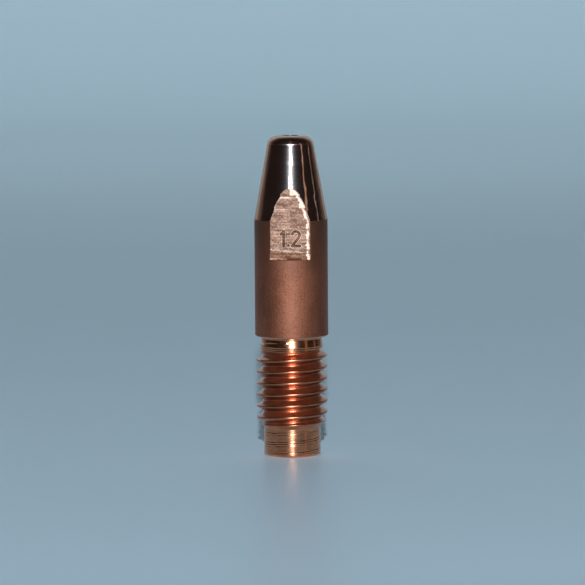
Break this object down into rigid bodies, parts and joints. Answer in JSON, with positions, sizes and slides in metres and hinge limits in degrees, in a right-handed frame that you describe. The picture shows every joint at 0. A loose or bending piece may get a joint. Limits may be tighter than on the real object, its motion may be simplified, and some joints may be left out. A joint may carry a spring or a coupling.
{
  "type": "welding contact tip",
  "caption": "Slim round copper tip with a tapered nose, spanner flats, a screw thread and a pilot end; it guides and feeds current to welding wire.",
  "frame": {"origin": "centre of the pilot's end face, on which the tip stands", "axes": "+Z along the wire bore towards the nose; the front spanner flat faces -Y"},
  "size_m": [0.008, 0.008, 0.035],
  "materials": {
    "copper": "turned copper alloy: polished taper, satin barrel, bright thread, fine turned lines on the pilot"
  },
  "bodies": {
    "root": {"contact_tip": "copper"}
  },
  "joints": []
}
